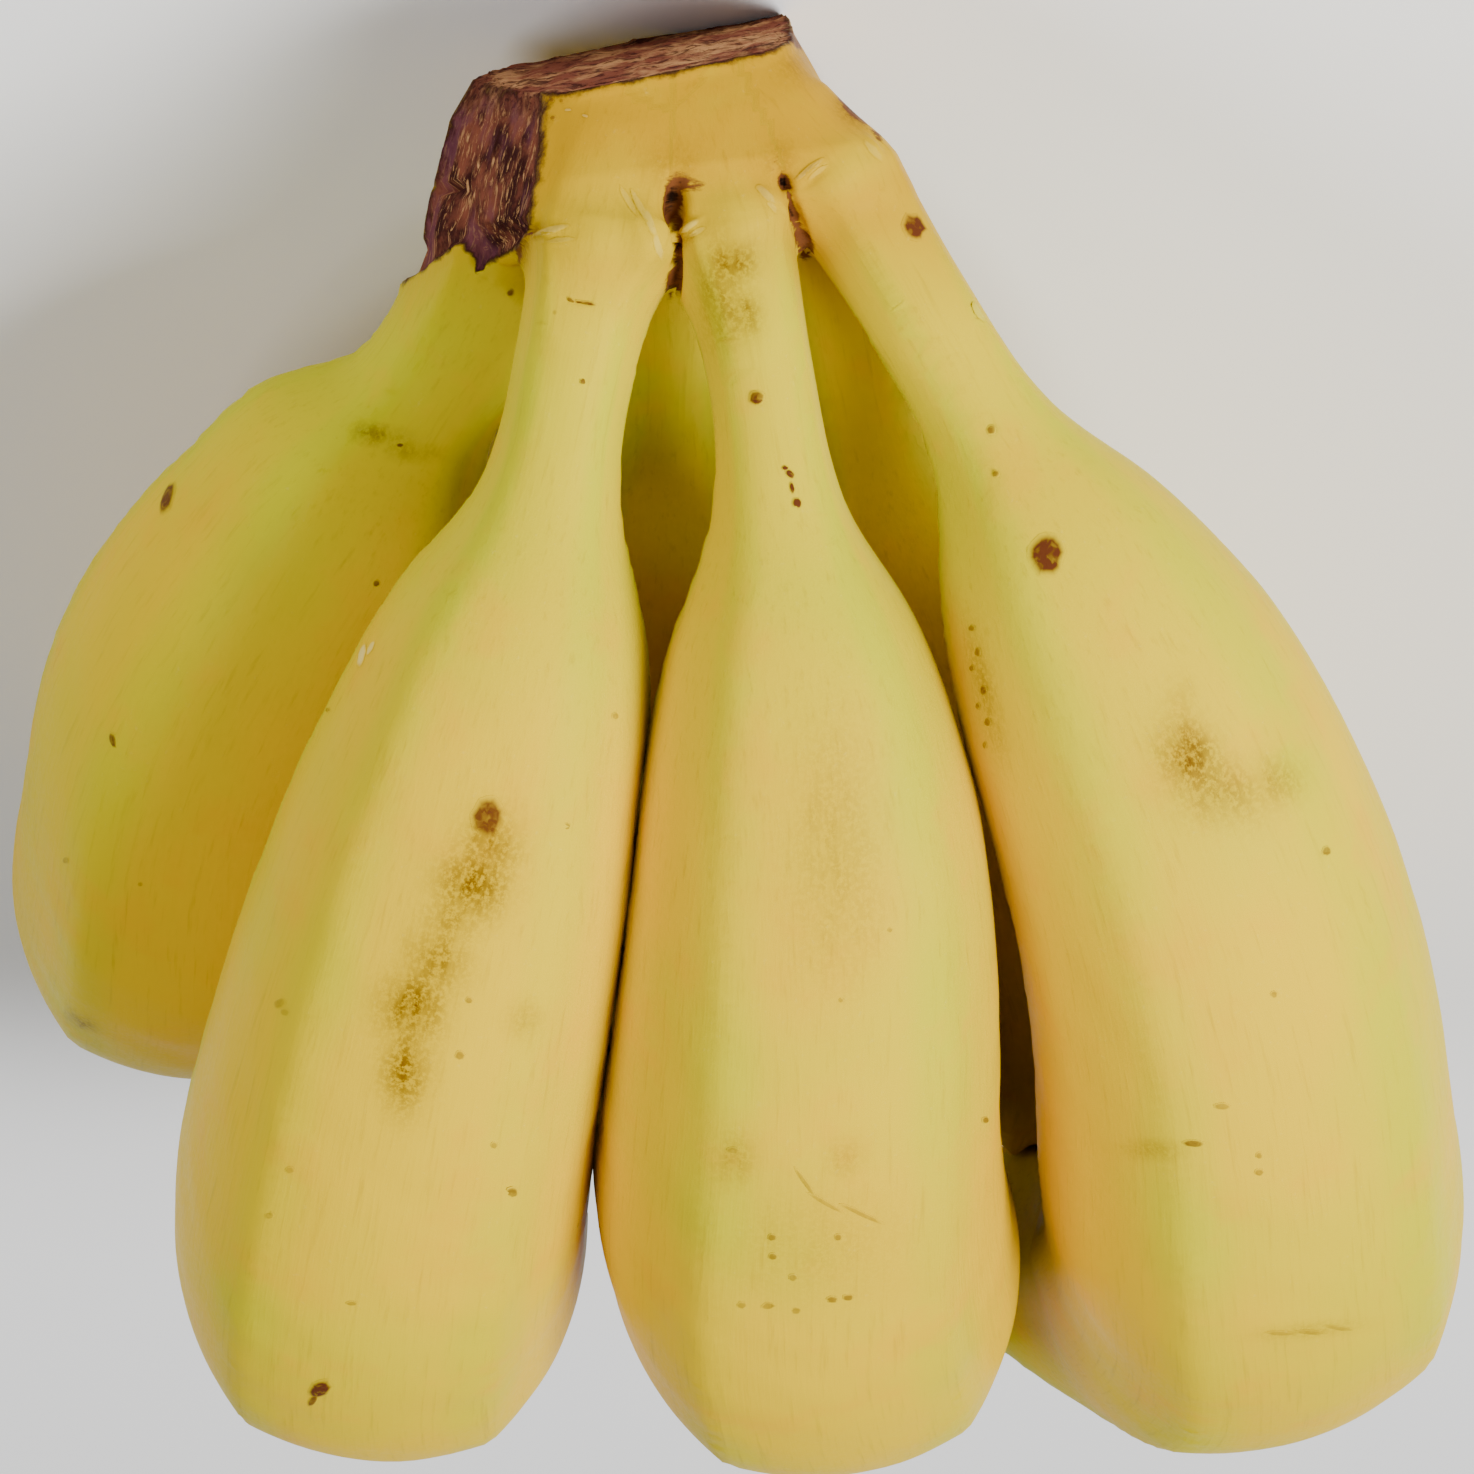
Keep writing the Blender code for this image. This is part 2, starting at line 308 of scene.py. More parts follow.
def to_world():
    """From the hand's frame to where the solid lies."""
    sides, rings, crown_sides = SOLID_COUNTS
    parts = [crown_rings(crown_sides)]
    parts += [finger_rings(finger, sides, rings, True) for finger in FINGERS.values()]
    points = np.vstack([part.reshape(-1, 3) for part in parts])
    laid = points @ np.array(lay_down())[:3, :3].T
    middle = (laid.min(axis=0) + laid.max(axis=0)) / 2
    down = -laid[:, 2].min() - FLAT_DEPTH
    return Matrix.Translation((-middle[0], -middle[1], down)) @ lay_down()


HAND_TO_WORLD = to_world()


def loft_faces(rings):
    """Points and faces of a closed solid through rings of equal counts."""
    count, sides = rings.shape[:2]
    faces = []
    for ring in range(count - 1):
        for i in range(sides):
            after = (i + 1) % sides
            low, high = ring * sides, (ring + 1) * sides
            faces.append((low + i, high + i, high + after, low + after))
    faces.append(tuple(range(sides)))
    faces.append(tuple(range((count - 1) * sides, count * sides))[::-1])
    return rings.reshape(-1, 3), faces


def solid_tree(points, faces):
    """A closed mesh with its faces turned outwards, and a search tree over it."""
    mesh = bmesh.new()
    verts = [mesh.verts.new(point) for point in points]
    for face in faces:
        mesh.faces.new([verts[i] for i in face])
    bmesh.ops.recalc_face_normals(mesh, faces=mesh.faces)
    tree = BVHTree.FromBMesh(mesh)
    return mesh, tree


def signed(tree, points):
    """Signed distance to a closed mesh, and its direction, at each point."""
    found = [tree.find_nearest(point) for point in points.tolist()]
    near = np.array([tuple(place) for place, _, _, _ in found]).reshape(-1, 3)
    normal = np.array([tuple(facing) for _, facing, _, _ in found]).reshape(-1, 3)
    away = points - near
    far = np.linalg.norm(away, axis=1)
    side = np.where(np.einsum("ij,ij->i", away, normal) < 0, -1.0, 1.0)
    unit = away / np.maximum(far, 1e-9)[:, None] * side[:, None]
    return far * side, np.where(far[:, None] > ON_SURFACE, unit, normal)


def meet(first, second, width):
    """The rounded union of two distance fields, each a pair of distance and direction."""
    (d1, n1), (d2, n2) = first, second
    share = np.clip(0.5 + 0.5 * (d2 - d1) / width, 0, 1)
    distance = d2 + (d1 - d2) * share - width * share * (1 - share)
    direction = n2 + (n1 - n2) * share[:, None]
    return distance, direction / np.linalg.norm(direction, axis=1)[:, None]


class Hand:
    """The fingers and the crown: search trees over them, and slimmer copies to mesh round."""

    def __init__(self):
        sides, rings, crown_sides = FINE_COUNTS
        self.slim, self.trees = [], []
        for finger in FINGERS.values():
            self.trees.append(solid_tree(*loft_faces(finger_rings(finger, sides, rings, False)))[1])
            slim = finger_rings(finger, sides, rings, False, SLIMMING)
            self.slim.append(solid_tree(*loft_faces(slim))[0])
        crown, tree = solid_tree(*loft_faces(crown_rings(crown_sides)))
        self.slim.append(crown)
        self.trees.append(tree)

    def project(self, points, owner):
        """Moves each point onto the skin: its own finger's, or the rounded one at the crown."""
        moved = points.copy()
        joined = points[:, 1] > JOINED_FROM
        for number, tree in enumerate(self.trees[:-1]):
            mine = np.flatnonzero(~joined & (owner == number))
            distance, direction = signed(tree, points[mine])
            moved[mine] -= distance[:, None] * direction
        chosen = points[joined]
        grown = smooth_step(chosen[:, 1], JOINED_FROM, JOINED_FROM + FILLET_GROWS_OVER)
        width = LEAST_FILLET + NECK_FILLET * grown
        field = signed(self.trees[0], chosen)
        for tree in self.trees[1:-1]:
            field = meet(field, signed(tree, chosen), width)
        distance, direction = meet(field, signed(self.trees[-1], chosen), CROWN_FILLET)
        moved[joined] -= distance[:, None] * direction
        return moved


def in_scene(name, data):
    """A new object of the scene that holds this data."""
    made = bpy.data.objects.new(name, data)
    bpy.context.scene.collection.objects.link(made)
    return made


def even_mesh(meshes):
    """One even mesh round several closed ones that overlap."""
    whole = bmesh.new()
    for mesh in meshes:
        part = bpy.data.meshes.new("part")
        mesh.to_mesh(part)
        whole.from_mesh(part)
        bpy.data.meshes.remove(part)
    data = bpy.data.meshes.new("rough")
    whole.to_mesh(data)
    whole.free()
    rough = in_scene("rough", data)
    remesh = rough.modifiers.new("even", "REMESH")
    remesh.mode = "VOXEL"
    remesh.voxel_size = SKIN_STEP
    graph = bpy.context.evaluated_depsgraph_get()
    made = bpy.data.meshes.new_from_object(rough.evaluated_get(graph))
    bpy.data.objects.remove(rough, do_unlink=True)
    return made


def coordinates(mesh):
    flat = np.empty(len(mesh.vertices) * 3)
    mesh.vertices.foreach_get("co", flat)
    return flat.reshape(-1, 3)


def place(mesh, points):
    mesh.vertices.foreach_set("co", points.reshape(-1))
    mesh.update()


def finer_crown(mesh):
    """Splits the faces round the crown once more, and those over its knuckles twice."""
    work = bmesh.new()
    work.from_mesh(mesh)
    chosen = [edge for edge in work.edges if min(v.co.y for v in edge.verts) > FINE_FROM]
    bmesh.ops.subdivide_edges(work, edges=chosen, cuts=1, use_grid_fill=True)
    lowest, highest = FINEST_BOX
    finest = [
        edge for edge in work.edges
        if all(low < c < high for v in edge.verts for low, c, high in zip(lowest, v.co, highest))
    ]
    bmesh.ops.subdivide_edges(work, edges=finest, cuts=1, use_grid_fill=True)
    bmesh.ops.triangulate(work, faces=[face for face in work.faces if len(face.verts) > 4])
    work.to_mesh(mesh)
    work.free()


def relaxed(mesh, points, share):
    """Each point moved by a share of the way to the middle of its neighbours."""
    ends = np.empty(len(mesh.edges) * 2, np.int64)
    mesh.edges.foreach_get("vertices", ends)
    a, b = ends.reshape(-1, 2).T
    total = np.zeros_like(points)
    np.add.at(total, a, points[b])
    np.add.at(total, b, points[a])
    count = np.bincount(ends, minlength=len(points))
    return points + (total / count[:, None] - points) * share


def finger_places(finger, points):
    """For each point: its fraction along a finger, and its place across and out from the axis."""
    stations = np.linspace(0, 1, PLACE_STEPS)
    centre, along, across, outwards = finger_frames(finger, stations)
    best = np.zeros(len(points), int)
    nearest = np.full(len(points), np.inf)
    for i in range(len(stations)):
        far = ((points - centre[i]) ** 2).sum(axis=1)
        closer = far < nearest
        nearest[closer] = far[closer]
        best[closer] = i
    away = points - centre[best]
    ahead = np.einsum("ij,ij->i", away, along[best])
    sideways = np.einsum("ij,ij->i", away, across[best])
    upwards = np.einsum("ij,ij->i", away, outwards[best])
    return stations[best] + ahead / finger.length, sideways, upwards


def pixels(points):
    """Where the photograph's camera sees points of the hand's frame."""
    scale = FOCAL_PIXELS / (CAMERA_DISTANCE - points[:, 2])
    return np.stack([MIDDLE_PIXEL + points[:, 0] * scale, MIDDLE_PIXEL - points[:, 1] * scale], 1)


def edge_at(corners, heights):
    """Where the edge through the crown's corners is at the given heights."""
    corners = corners[np.argsort(corners[:, 1])]
    return np.stack([np.interp(heights, corners[:, 1], column) for column in corners.T], 1)


def crown_depth(points):
    """How far inside the crown's cut top and its cut left side points lie."""
    outlines = np.array(CROWN_OUTLINES)
    front_left, front_right, back_right, back_left = outlines[0]
    top = np.cross(front_right - back_left, front_left - back_right)
    top /= np.linalg.norm(top)
    if top[1] < 0:
        top = -top
    middle = outlines[0].mean(axis=0)
    under_top = -(points - middle) @ top
    edge_front = edge_at(outlines[:, 0], points[:, 1])
    edge_back = edge_at(outlines[:, 3], points[:, 1])
    run = edge_front - edge_back
    normal = np.stack([-run[:, 2], np.zeros(len(run)), run[:, 0]], 1)
    normal /= np.linalg.norm(normal, axis=1)[:, None]
    normal[normal[:, 0] > 0] *= -1
    beside = -np.einsum("ij,ij->i", points - edge_front, normal)
    return under_top, beside


# Where the photograph shows things on the skin, in its pixels.
# The lower edge of the cut left side, with its two pointed flaps.
FLAP_AT = (400, 425, 440, 450, 460, 473, 478, 484, 505, 520, 530, 541, 560)
FLAP_EDGE = (285, 270, 256, 249, 244, 252, 279, 266, 252, 245, 226, 212, 205)

# The cork: its thickness on the cut top and on the cut side, how high it starts, the value that
# means none, how deep it is sunk, and the height of its rim and its fibres.
CORK_ON_TOP = 0.0008
CORK_ON_SIDE = 0.0009
CORK_FROM = 0.040
NO_CORK = -0.02
CORK_SINK = 0.0008
CORK_RIM = 0.00030
CORK_FIBRES = 0.00024
# Between which heights the skin turns into the crown's, and between which depths under the cut top
# the cork turns from the top's into the side's.
CROWN_FADE = (0.038, 0.056)
CUT_TOP_FADE = (0.0035, 0.0005)
# The peel's slight waves, how many waves make a pattern, and how far apart the patterns of two
# fingers are read.
PEEL_WAVES = 0.00012
PEEL_WAVE_LENGTH = 0.010
WAVES_IN_PATTERN = 6
FINGERS_READ_APART = 0.31

# Swellings, folds and hollows of the skin: place, half width and height, turn in degrees, and
# lift in metres.
SWELLINGS = (
    (596, 240, 48, 26, 0, 0.0014),
    (648, 240, 20, 30, -6, 0.0015),
    (738, 214, 34, 24, 0, 0.0012),
    (772, 206, 14, 20, 0, 0.0006),
    (850, 166, 36, 28, -30, 0.0010),
    (674, 204, 9, 24, 6, -0.0018),
    (676, 262, 4, 34, 0, -0.0015),
    (785, 184, 6, 11, -20, -0.0020),
    (797, 220, 5, 24, -16, -0.0015),
    (1016, 1142, 9, 12, 0, 0.0014),
    (447, 187, 12, 3.5, 0, -0.0022),
    (553, 88, 16, 6, -20, 0.0006),
    (552, 231, 16, 3.4, -14, 0.00045),
    (560, 242, 14, 2.6, -6, 0.00022),
    (536, 229, 8, 3.0, -20, -0.00050),
    (626, 212, 3, 20, -30, 0.00022),
    (638, 208, 3, 18, -28, 0.00026),
    (650, 222, 4, 20, -22, 0.00030),
    (660, 246, 4, 14, -14, 0.00036),
    (688, 228, 12, 3.2, -34, 0.00055),
    (693, 236, 11, 2.2, -24, -0.00035),
    (766, 194, 4.5, 13, -45, 0.00048),
    (775, 210, 4, 9, -35, -0.00025),
    (810, 170, 16, 3.0, -38, 0.00046),
    (816, 178, 15, 2.4, -38, -0.00028),
    (872, 150, 4, 13, -42, 0.00038),
    (862, 158, 3, 10, -42, -0.00020),
    (578, 303, 14, 2.2, 6, -0.00026),
)

# Soft stains, and painted shade in the crease where the left inner finger's neck meets its body:
# place, half width and height, turn in degrees, and strength.
STAINS_AND_SHADE = (
    (490, 846, 30, 34, 0, 0.80),
    (474, 884, 36, 38, 20, 0.95),
    (452, 920, 26, 32, 20, 0.62),
    (436, 962, 30, 34, 15, 0.78),
    (412, 1008, 31, 38, 10, 1.0),
    (406, 1068, 23, 44, 5, 0.92),
    (525, 1020, 16, 18, 0, 0.34),
    (1190, 757, 27, 38, -20, 1.0),
    (1215, 788, 46, 32, 20, 0.66),
    (1275, 782, 26, 24, 0, 0.50),
    (1180, 700, 16, 24, 0, 0.26),
    (835, 850, 44, 130, 0, 0.36),
    (862, 905, 30, 60, 0, 0.24),
    (732, 262, 24, 20, 0, 0.86),
    (744, 314, 16, 24, 0, 0.80),
    (722, 292, 24, 56, 0, 0.62),
    (985, 690, 11, 72, -14, 0.52),
    (735, 1160, 20, 28, 0, 0.40),
    (845, 1160, 20, 20, 0, 0.30),
    (1155, 1150, 30, 9, 0, 0.42),
    # These two are painted shade in the crease where the left inner finger's neck meets its body.
    (372, 432, 16, 8, 20, 1.0),
    (400, 445, 32, 7, 15, 0.75),
    (80, 1022, 15, 6, 20, 0.75),
    (815, 1245, 90, 60, 0, 0.20),
    (1310, 1330, 50, 7, -5, 0.34),
    (525, 246, 7, 24, 8, 0.90),
    (850, 112, 12, 20, -40, 0.65),
    (800, 62, 26, 22, -40, 0.40),
    (610, 78, 70, 9, -8, 0.36),
    (700, 60, 90, 8, -8, 0.30),
    (672, 165, 26, 26, 0, 0.30),
    (780, 160, 18, 24, 0, 0.34),
    (538, 232, 18, 7, -18, 0.60),
)

# Where the skin over the knuckles is a stronger yellow: as above.
KNUCKLES = (
    (610, 225, 58, 52, 0, 1.0),
    (735, 212, 46, 26, 0, 0.9),
    (850, 168, 46, 26, -30, 0.9),
)

# Dark scars in the clefts between the necks and down the crown's right edge, partly painted shade
# in the clefts' creases: place, half width and height, turn in degrees, strength.
SCARS_AND_SHADE = (
    (673, 203, 8, 26, 5, 1.0),
    (680, 184, 16, 13, 0, 0.66),
    (694, 186, 12, 10, 0, 0.50),
    # The next three, and the line at 796, 216, paint the shade in the creases between the necks.
    (677, 250, 5.0, 36, 0, 0.86),
    (672, 284, 9, 16, 0, 0.86),
    (805, 246, 9, 14, -10, 0.86),
    (785, 184, 6, 11, -20, 1.0),
    (776, 160, 2.2, 13, 18, 0.46),
    (796, 216, 3.0, 28, -18, 0.80),
    (532, 233, 12, 2.2, -18, 0.60),
    (521, 252, 3.5, 20, 6, 0.56),
    (793, 40, 4.5, 14, -42, 0.80),
    (818, 68, 3.5, 22, -36, 0.62),
    (850, 108, 5, 24, -38, 0.86),
    (875, 138, 4, 12, -40, 0.60),
    (556, 82, 22, 3, -16, 0.74),
    (640, 62, 60, 2.2, -9, 0.46),
)

# Spots with an edge: place, half width and height, turn in degrees, darkness. Those below nought
# are whitish strokes instead, most of them painted highlights on the folds at the knuckles.
SPOTS_AND_HIGHLIGHTS = (
    (487, 817, 14, 17, 10, 0.85),
    (914, 227, 10, 12, -20, 0.95),
    (1047, 555, 15, 19, -10, 0.95),
    (757, 398, 6.5, 6.5, 0, 0.88),
    (168, 498, 5, 15, 20, 0.85),
    (113, 740, 3, 7, -20, 0.80),
    (320, 1389, 11, 7, -30, 0.95),
    (313, 1400, 6, 3, -50, 0.80),
    (585, 303, 10, 2, 10, 0.85),
    (571, 300, 4, 2, 30, 0.70),
    (790, 474, 5, 3, 40, 0.95),
    (785, 468, 3, 2, 0, 0.90),
    (792, 488, 5, 2, 80, 0.95),
    (797, 503, 5, 4, 60, 0.95),
    (583, 381, 3, 3, 0, 0.75),
    (512, 1192, 5, 4, 20, 0.70),
    (280, 1003, 6, 4, -30, 0.35),
    (285, 1012, 4, 3, 20, 0.30),
    (460, 1055, 4, 4, 0, 0.50),
    (469, 1000, 3, 3, 0, 0.50),
    (991, 430, 4, 4, 0, 0.75),
    (996, 474, 3, 3, 0, 0.60),
    (772, 1237, 4, 3, 0, 0.55),
    (773, 1256, 4, 3, 0, 0.55),
    (838, 1237, 3, 3, 0, 0.50),
    (793, 1277, 4, 3, 0, 0.50),
    (832, 1299, 5, 3, 0, 0.60),
    (848, 1297, 5, 3, 0, 0.60),
    (768, 1306, 6, 3, 0, 0.55),
    (796, 1311, 4, 3, 0, 0.50),
    (742, 1305, 4, 3, 0, 0.40),
    (805, 1182, 2, 16, -35, 0.35),
    (826, 1203, 2, 18, -60, 0.32),
    (862, 1214, 2, 20, -65, 0.35),
    (733, 1150, 5, 3, 0, 0.35),
    (985, 1120, 3, 3, 0, 0.65),
    (1193, 1143, 9, 3, 5, 0.75),
    (1222, 1106, 7, 3, 0, 0.45),
    (1259, 1155, 3, 3, 0, 0.45),
    (1259, 1172, 4, 3, 0, 0.50),
    (1274, 994, 3, 3, 0, 0.45),
    (1326, 851, 4, 4, 0, 0.65),
    (1280, 1333, 12, 2, 2, 0.30),
    (1310, 1332, 12, 2, 4, 0.32),
    (1340, 1328, 12, 2, 8, 0.30),
    (376, 583, 3, 3, 0, 0.80),
    (510, 293, 3, 3, 0, 0.80),
    (400, 445, 3, 2, 0, 0.80),
    (257, 853, 4, 5, -30, 0.45),
    (615, 716, 3, 3, 0, 0.40),
    (567, 826, 3, 3, 0, 0.45),
    (328, 710, 2, 2, 0, 0.45),
    (972, 628, 3, 3, 0, 0.60),
    (978, 652, 3, 4, 0, 0.60),
    (972, 668, 2, 3, 0, 0.60),
    (984, 690, 3, 4, 0, 0.70),
    (978, 706, 2, 3, 0, 0.60),
    (988, 722, 3, 4, 0, 0.65),
    (985, 745, 2, 3, 0, 0.50),
    (352, 1303, 5, 2, 0, 0.40),
    (270, 1215, 4, 3, 0, 0.35),
    (290, 1170, 4, 3, 0, 0.30),
    (494, 1145, 3, 3, 0, 0.40),
    (841, 1000, 2, 2, 0, 0.40),
    (890, 930, 2, 2, 0, 0.35),
    (66, 860, 3, 3, 0, 0.35),
    (140, 884, 2, 2, 0, 0.35),
    (362, 655, 3, 10, 15, -0.55),
    (371, 648, 2, 7, 30, -0.45),
    # These are painted highlights on the small folds of the knuckles and necks.
    (551, 230, 15, 3.2, -14, -0.16),
    (560, 240, 12, 2.4, -6, -0.08),
    (688, 227, 11, 3.0, -34, -0.18),
    (697, 232, 8, 2.4, -30, -0.10),
    (640, 206, 3.0, 16, -28, -0.10),
    (650, 222, 3.4, 14, -22, -0.15),
    (658, 246, 3.2, 12, -14, -0.17),
    (628, 200, 2.6, 14, -30, -0.08),
    (766, 194, 3.6, 11, -45, -0.14),
    (772, 206, 2.8, 7, -38, -0.10),
    (809, 170, 14, 2.8, -38, -0.12),
    (818, 172, 10, 2.4, -38, -0.08),
    (873, 150, 3.4, 11, -42, -0.10),
    (968, 290, 3.0, 14, -32, -0.16),
    (978, 312, 2.8, 9, -32, -0.13),
    (568, 110, 3, 1.4, 0, -0.20),
    (585, 116, 3, 1.4, 20, -0.20),
    (552, 100, 2.4, 2, 0, 0.60),
    (553, 118, 2.4, 2, 0, 0.55),
    (562, 101, 2, 1.6, 0, 0.45),
)


def over(seen, mark):
    """How strongly a soft mark covers points seen at these pixels, 1 at its middle."""
    x, y, half_width, half_height, turn = mark[:5]
    angle = math.radians(turn)
    right, down = seen[:, 0] - x, seen[:, 1] - y
    across = right * math.cos(angle) + down * math.sin(angle)
    along = down * math.cos(angle) - right * math.sin(angle)
    return np.exp(-((across / half_width) ** 2) - (along / half_height) ** 2)


def covered(seen, marks):
    """How strongly the strongest of several soft marks covers points seen at these pixels."""
    strongest = np.zeros(len(seen))
    for mark in marks:
        strongest = np.maximum(strongest, over(seen, mark) * mark[5])
    return strongest


def point_normals(mesh):
    flat = np.empty(len(mesh.vertices) * 3)
    mesh.vertex_normals.foreach_get("vector", flat)
    return flat.reshape(-1, 3)


def wavy(points, period, seed):
    """A smooth pattern between -1 and 1, from a few waves in turned directions."""
    chance = np.random.default_rng(seed)
    total = np.zeros(len(points))
    for _ in range(WAVES_IN_PATTERN):
        direction = chance.normal(size=3)
        direction *= 2 * math.pi / period / np.linalg.norm(direction) * chance.uniform(0.6, 1.5)
        total += np.sin(points @ direction + chance.uniform(0, 2 * math.pi))
    return total / WAVES_IN_PATTERN


def first_hits(tree, seen):
    """Where the photograph's camera first meets the skin at these pixels."""
    eye = Vector((0, 0, CAMERA_DISTANCE))
    found = []
    for x, y in seen:
        ray = Vector((x - MIDDLE_PIXEL, MIDDLE_PIXEL - y, -FOCAL_PIXELS)).normalized()
        found.append(tree.ray_cast(eye, ray))
    return found


def write_attribute(mesh, name, values):
    kind = "FLOAT" if values.ndim == 1 else "FLOAT_VECTOR"
    made = mesh.attributes.new(name, kind, "POINT")
    made.data.foreach_set("value" if values.ndim == 1 else "vector", values.reshape(-1))


def seen_from_front(tree, points):
    """1 for points that the photograph's camera sees, 0 for hidden ones."""
    eye = Vector((0, 0, CAMERA_DISTANCE))
    result = np.zeros(len(points))
    for i, point in enumerate(points):
        ray = Vector(point) - eye
        far = ray.length
        hit = tree.ray_cast(eye, ray.normalized(), far + SIGHT_PAST)
        if hit[0] is not None and hit[3] > far - SEEN_WITHIN:
            result[i] = 1.0
    return result


def owners(points):
    """Which finger each point belongs to, and its place along, across and out from that one."""
    nearest = np.full(len(points), np.inf)
    owner = np.zeros(len(points), int)
    places = np.zeros((len(points), 3))
    for number, finger in enumerate(FINGERS.values()):
        along, sideways, upwards = finger_places(finger, points)
        profile_place = np.interp(along, (0, finger.neck, 1), (0, PROFILE_NECK, 1))
        radius = smooth_curve(np.clip(profile_place, 0, 1), PROFILE_AT, PROFILE_RADIUS)
        off = np.hypot(sideways, upwards) - radius * finger.girth[1]
        off = np.hypot(off, np.maximum(along - 1, 0) * finger.length)
        off = np.where(np.hypot(sideways, upwards) < radius * finger.girth[1], 0.5 * off, off)
        closer = off < nearest
        nearest[closer] = off[closer]
        owner[closer] = number
        places[closer] = np.stack([along, sideways, upwards], 1)[closer]
    return owner, places


def skin_facts(points, owner, places, front):
    """The attributes of skin points, by name. The depth inside the cork is in millimetres."""
    along, sideways, upwards = places.T
    lengths = np.array([finger.length for finger in FINGERS.values()])[owner]
    turns = np.array([first_ridge(finger) for finger in FINGERS.values()])[owner]
    grown = np.stack([sideways, upwards, along * lengths + owner * FINGERS_READ_APART], 1)
    ridge = 0.5 + 0.5 * np.cos(RIDGES * (np.arctan2(upwards, sideways) - turns))
    seen = pixels(points)
    under_top, beside = crown_depth(points)
    flap = np.interp(seen[:, 0], FLAP_AT, FLAP_EDGE)
    side = np.minimum(CORK_ON_SIDE - beside, (flap - seen[:, 1]) / FOCAL_PIXELS)
    cork = np.maximum(CORK_ON_TOP - under_top, side)
    cork = np.where(points[:, 1] > CORK_FROM, cork, NO_CORK)
    return {
        "grown": grown,
        "hand": points,
        "along": np.clip(along, 0, 1.05),
        "ridge": ridge,
        "stain_and_shade": covered(seen, STAINS_AND_SHADE) * front,
        "scar_and_shade": covered(seen, SCARS_AND_SHADE) * front,
        "cork": np.clip(cork * 1000, -5, 5),
        "crown": smooth_step(points[:, 1], *CROWN_FADE),
        "knuckle": covered(seen, KNUCKLES) * front,
        "cut_top": smooth_step(under_top, *CUT_TOP_FADE),
    }


def skin_tree(mesh):
    """A search tree over a mesh as it stands now."""
    points = [tuple(point) for point in coordinates(mesh)]
    return BVHTree.FromPolygons(points, [tuple(face.vertices) for face in mesh.polygons])


def build_skin(hand):
    """The whole skin as one mesh in the hand's frame, with its facts as attributes."""
    mesh = even_mesh(hand.slim)
    finer_crown(mesh)
    points = coordinates(mesh)
    owner = owners(points)[0]
    points = hand.project(points, owner)
    points = hand.project(relaxed(mesh, points, 0.5), owner)
    place(mesh, points)

    front = seen_from_front(skin_tree(mesh), points)
    owner, places = owners(points)
    facts = skin_facts(points, owner, places, front)
    normals = point_normals(mesh)
    seen = pixels(points)
    lift = np.zeros(len(points))
    for mark in SWELLINGS:
        lift += over(seen, mark) * mark[5] * front
    cork = facts["cork"]
    inside = smooth_step(cork, 0.0, 0.7)
    rim = np.exp(-((cork + 0.25) / 0.45) ** 2)
    stretched = points * np.array([1.0, 0.22, 1.0])
    fibre = wavy(stretched, 0.0020, 5) + 0.8 * wavy(stretched, 0.0011, 6)
    lift += -CORK_SINK * inside + CORK_RIM * rim + CORK_FIBRES * fibre * inside
    lift += PEEL_WAVES * wavy(points, PEEL_WAVE_LENGTH, 8) * (1 - inside)
    points = points + normals * lift[:, None]
    place(mesh, points)
    for name, values in facts.items():
        write_attribute(mesh, name, values)
    heights = points[:, 1]
    upper = [heights[list(face.vertices)].min() > CROWN_SKIN_FROM for face in mesh.polygons]
    mesh.polygons.foreach_set("material_index", np.array(upper, np.int32))
    return mesh


def nearest_facts(mesh, names):
    """Gives a function that reads the named attributes at a place on the mesh."""
    columns = {}
    for name in names:
        layer = mesh.attributes[name]
        vector = layer.data_type == "FLOAT_VECTOR"
        flat = np.empty(len(mesh.vertices) * (3 if vector else 1))
        layer.data.foreach_get("vector" if vector else "value", flat)
        columns[name] = flat.reshape(-1, 3) if vector else flat
    points = coordinates(mesh)

    def read(spot, face):
        corners = list(mesh.polygons[face].vertices)
        weight = 1 / (np.linalg.norm(points[corners] - np.array(spot), axis=1) + 1e-6)
        weight /= weight.sum()
        return {name: weight @ columns[name][corners] for name in names}

    return read


# The patch that carries a spot: its rings, its sides, how far it lies above the skin, how much
# wider it is than the spot, how uneven its outline is, and how much depth it may span.
SPOT_RINGS = (0.0, 0.35, 0.65, 0.85, 1.0)
SPOT_SIDES = 14
SPOT_LIFT = 0.00004
SPOT_WIDER = 1.25
SPOT_UNEVEN = 0.07
SPOT_DEPTH_SPAN = 0.012


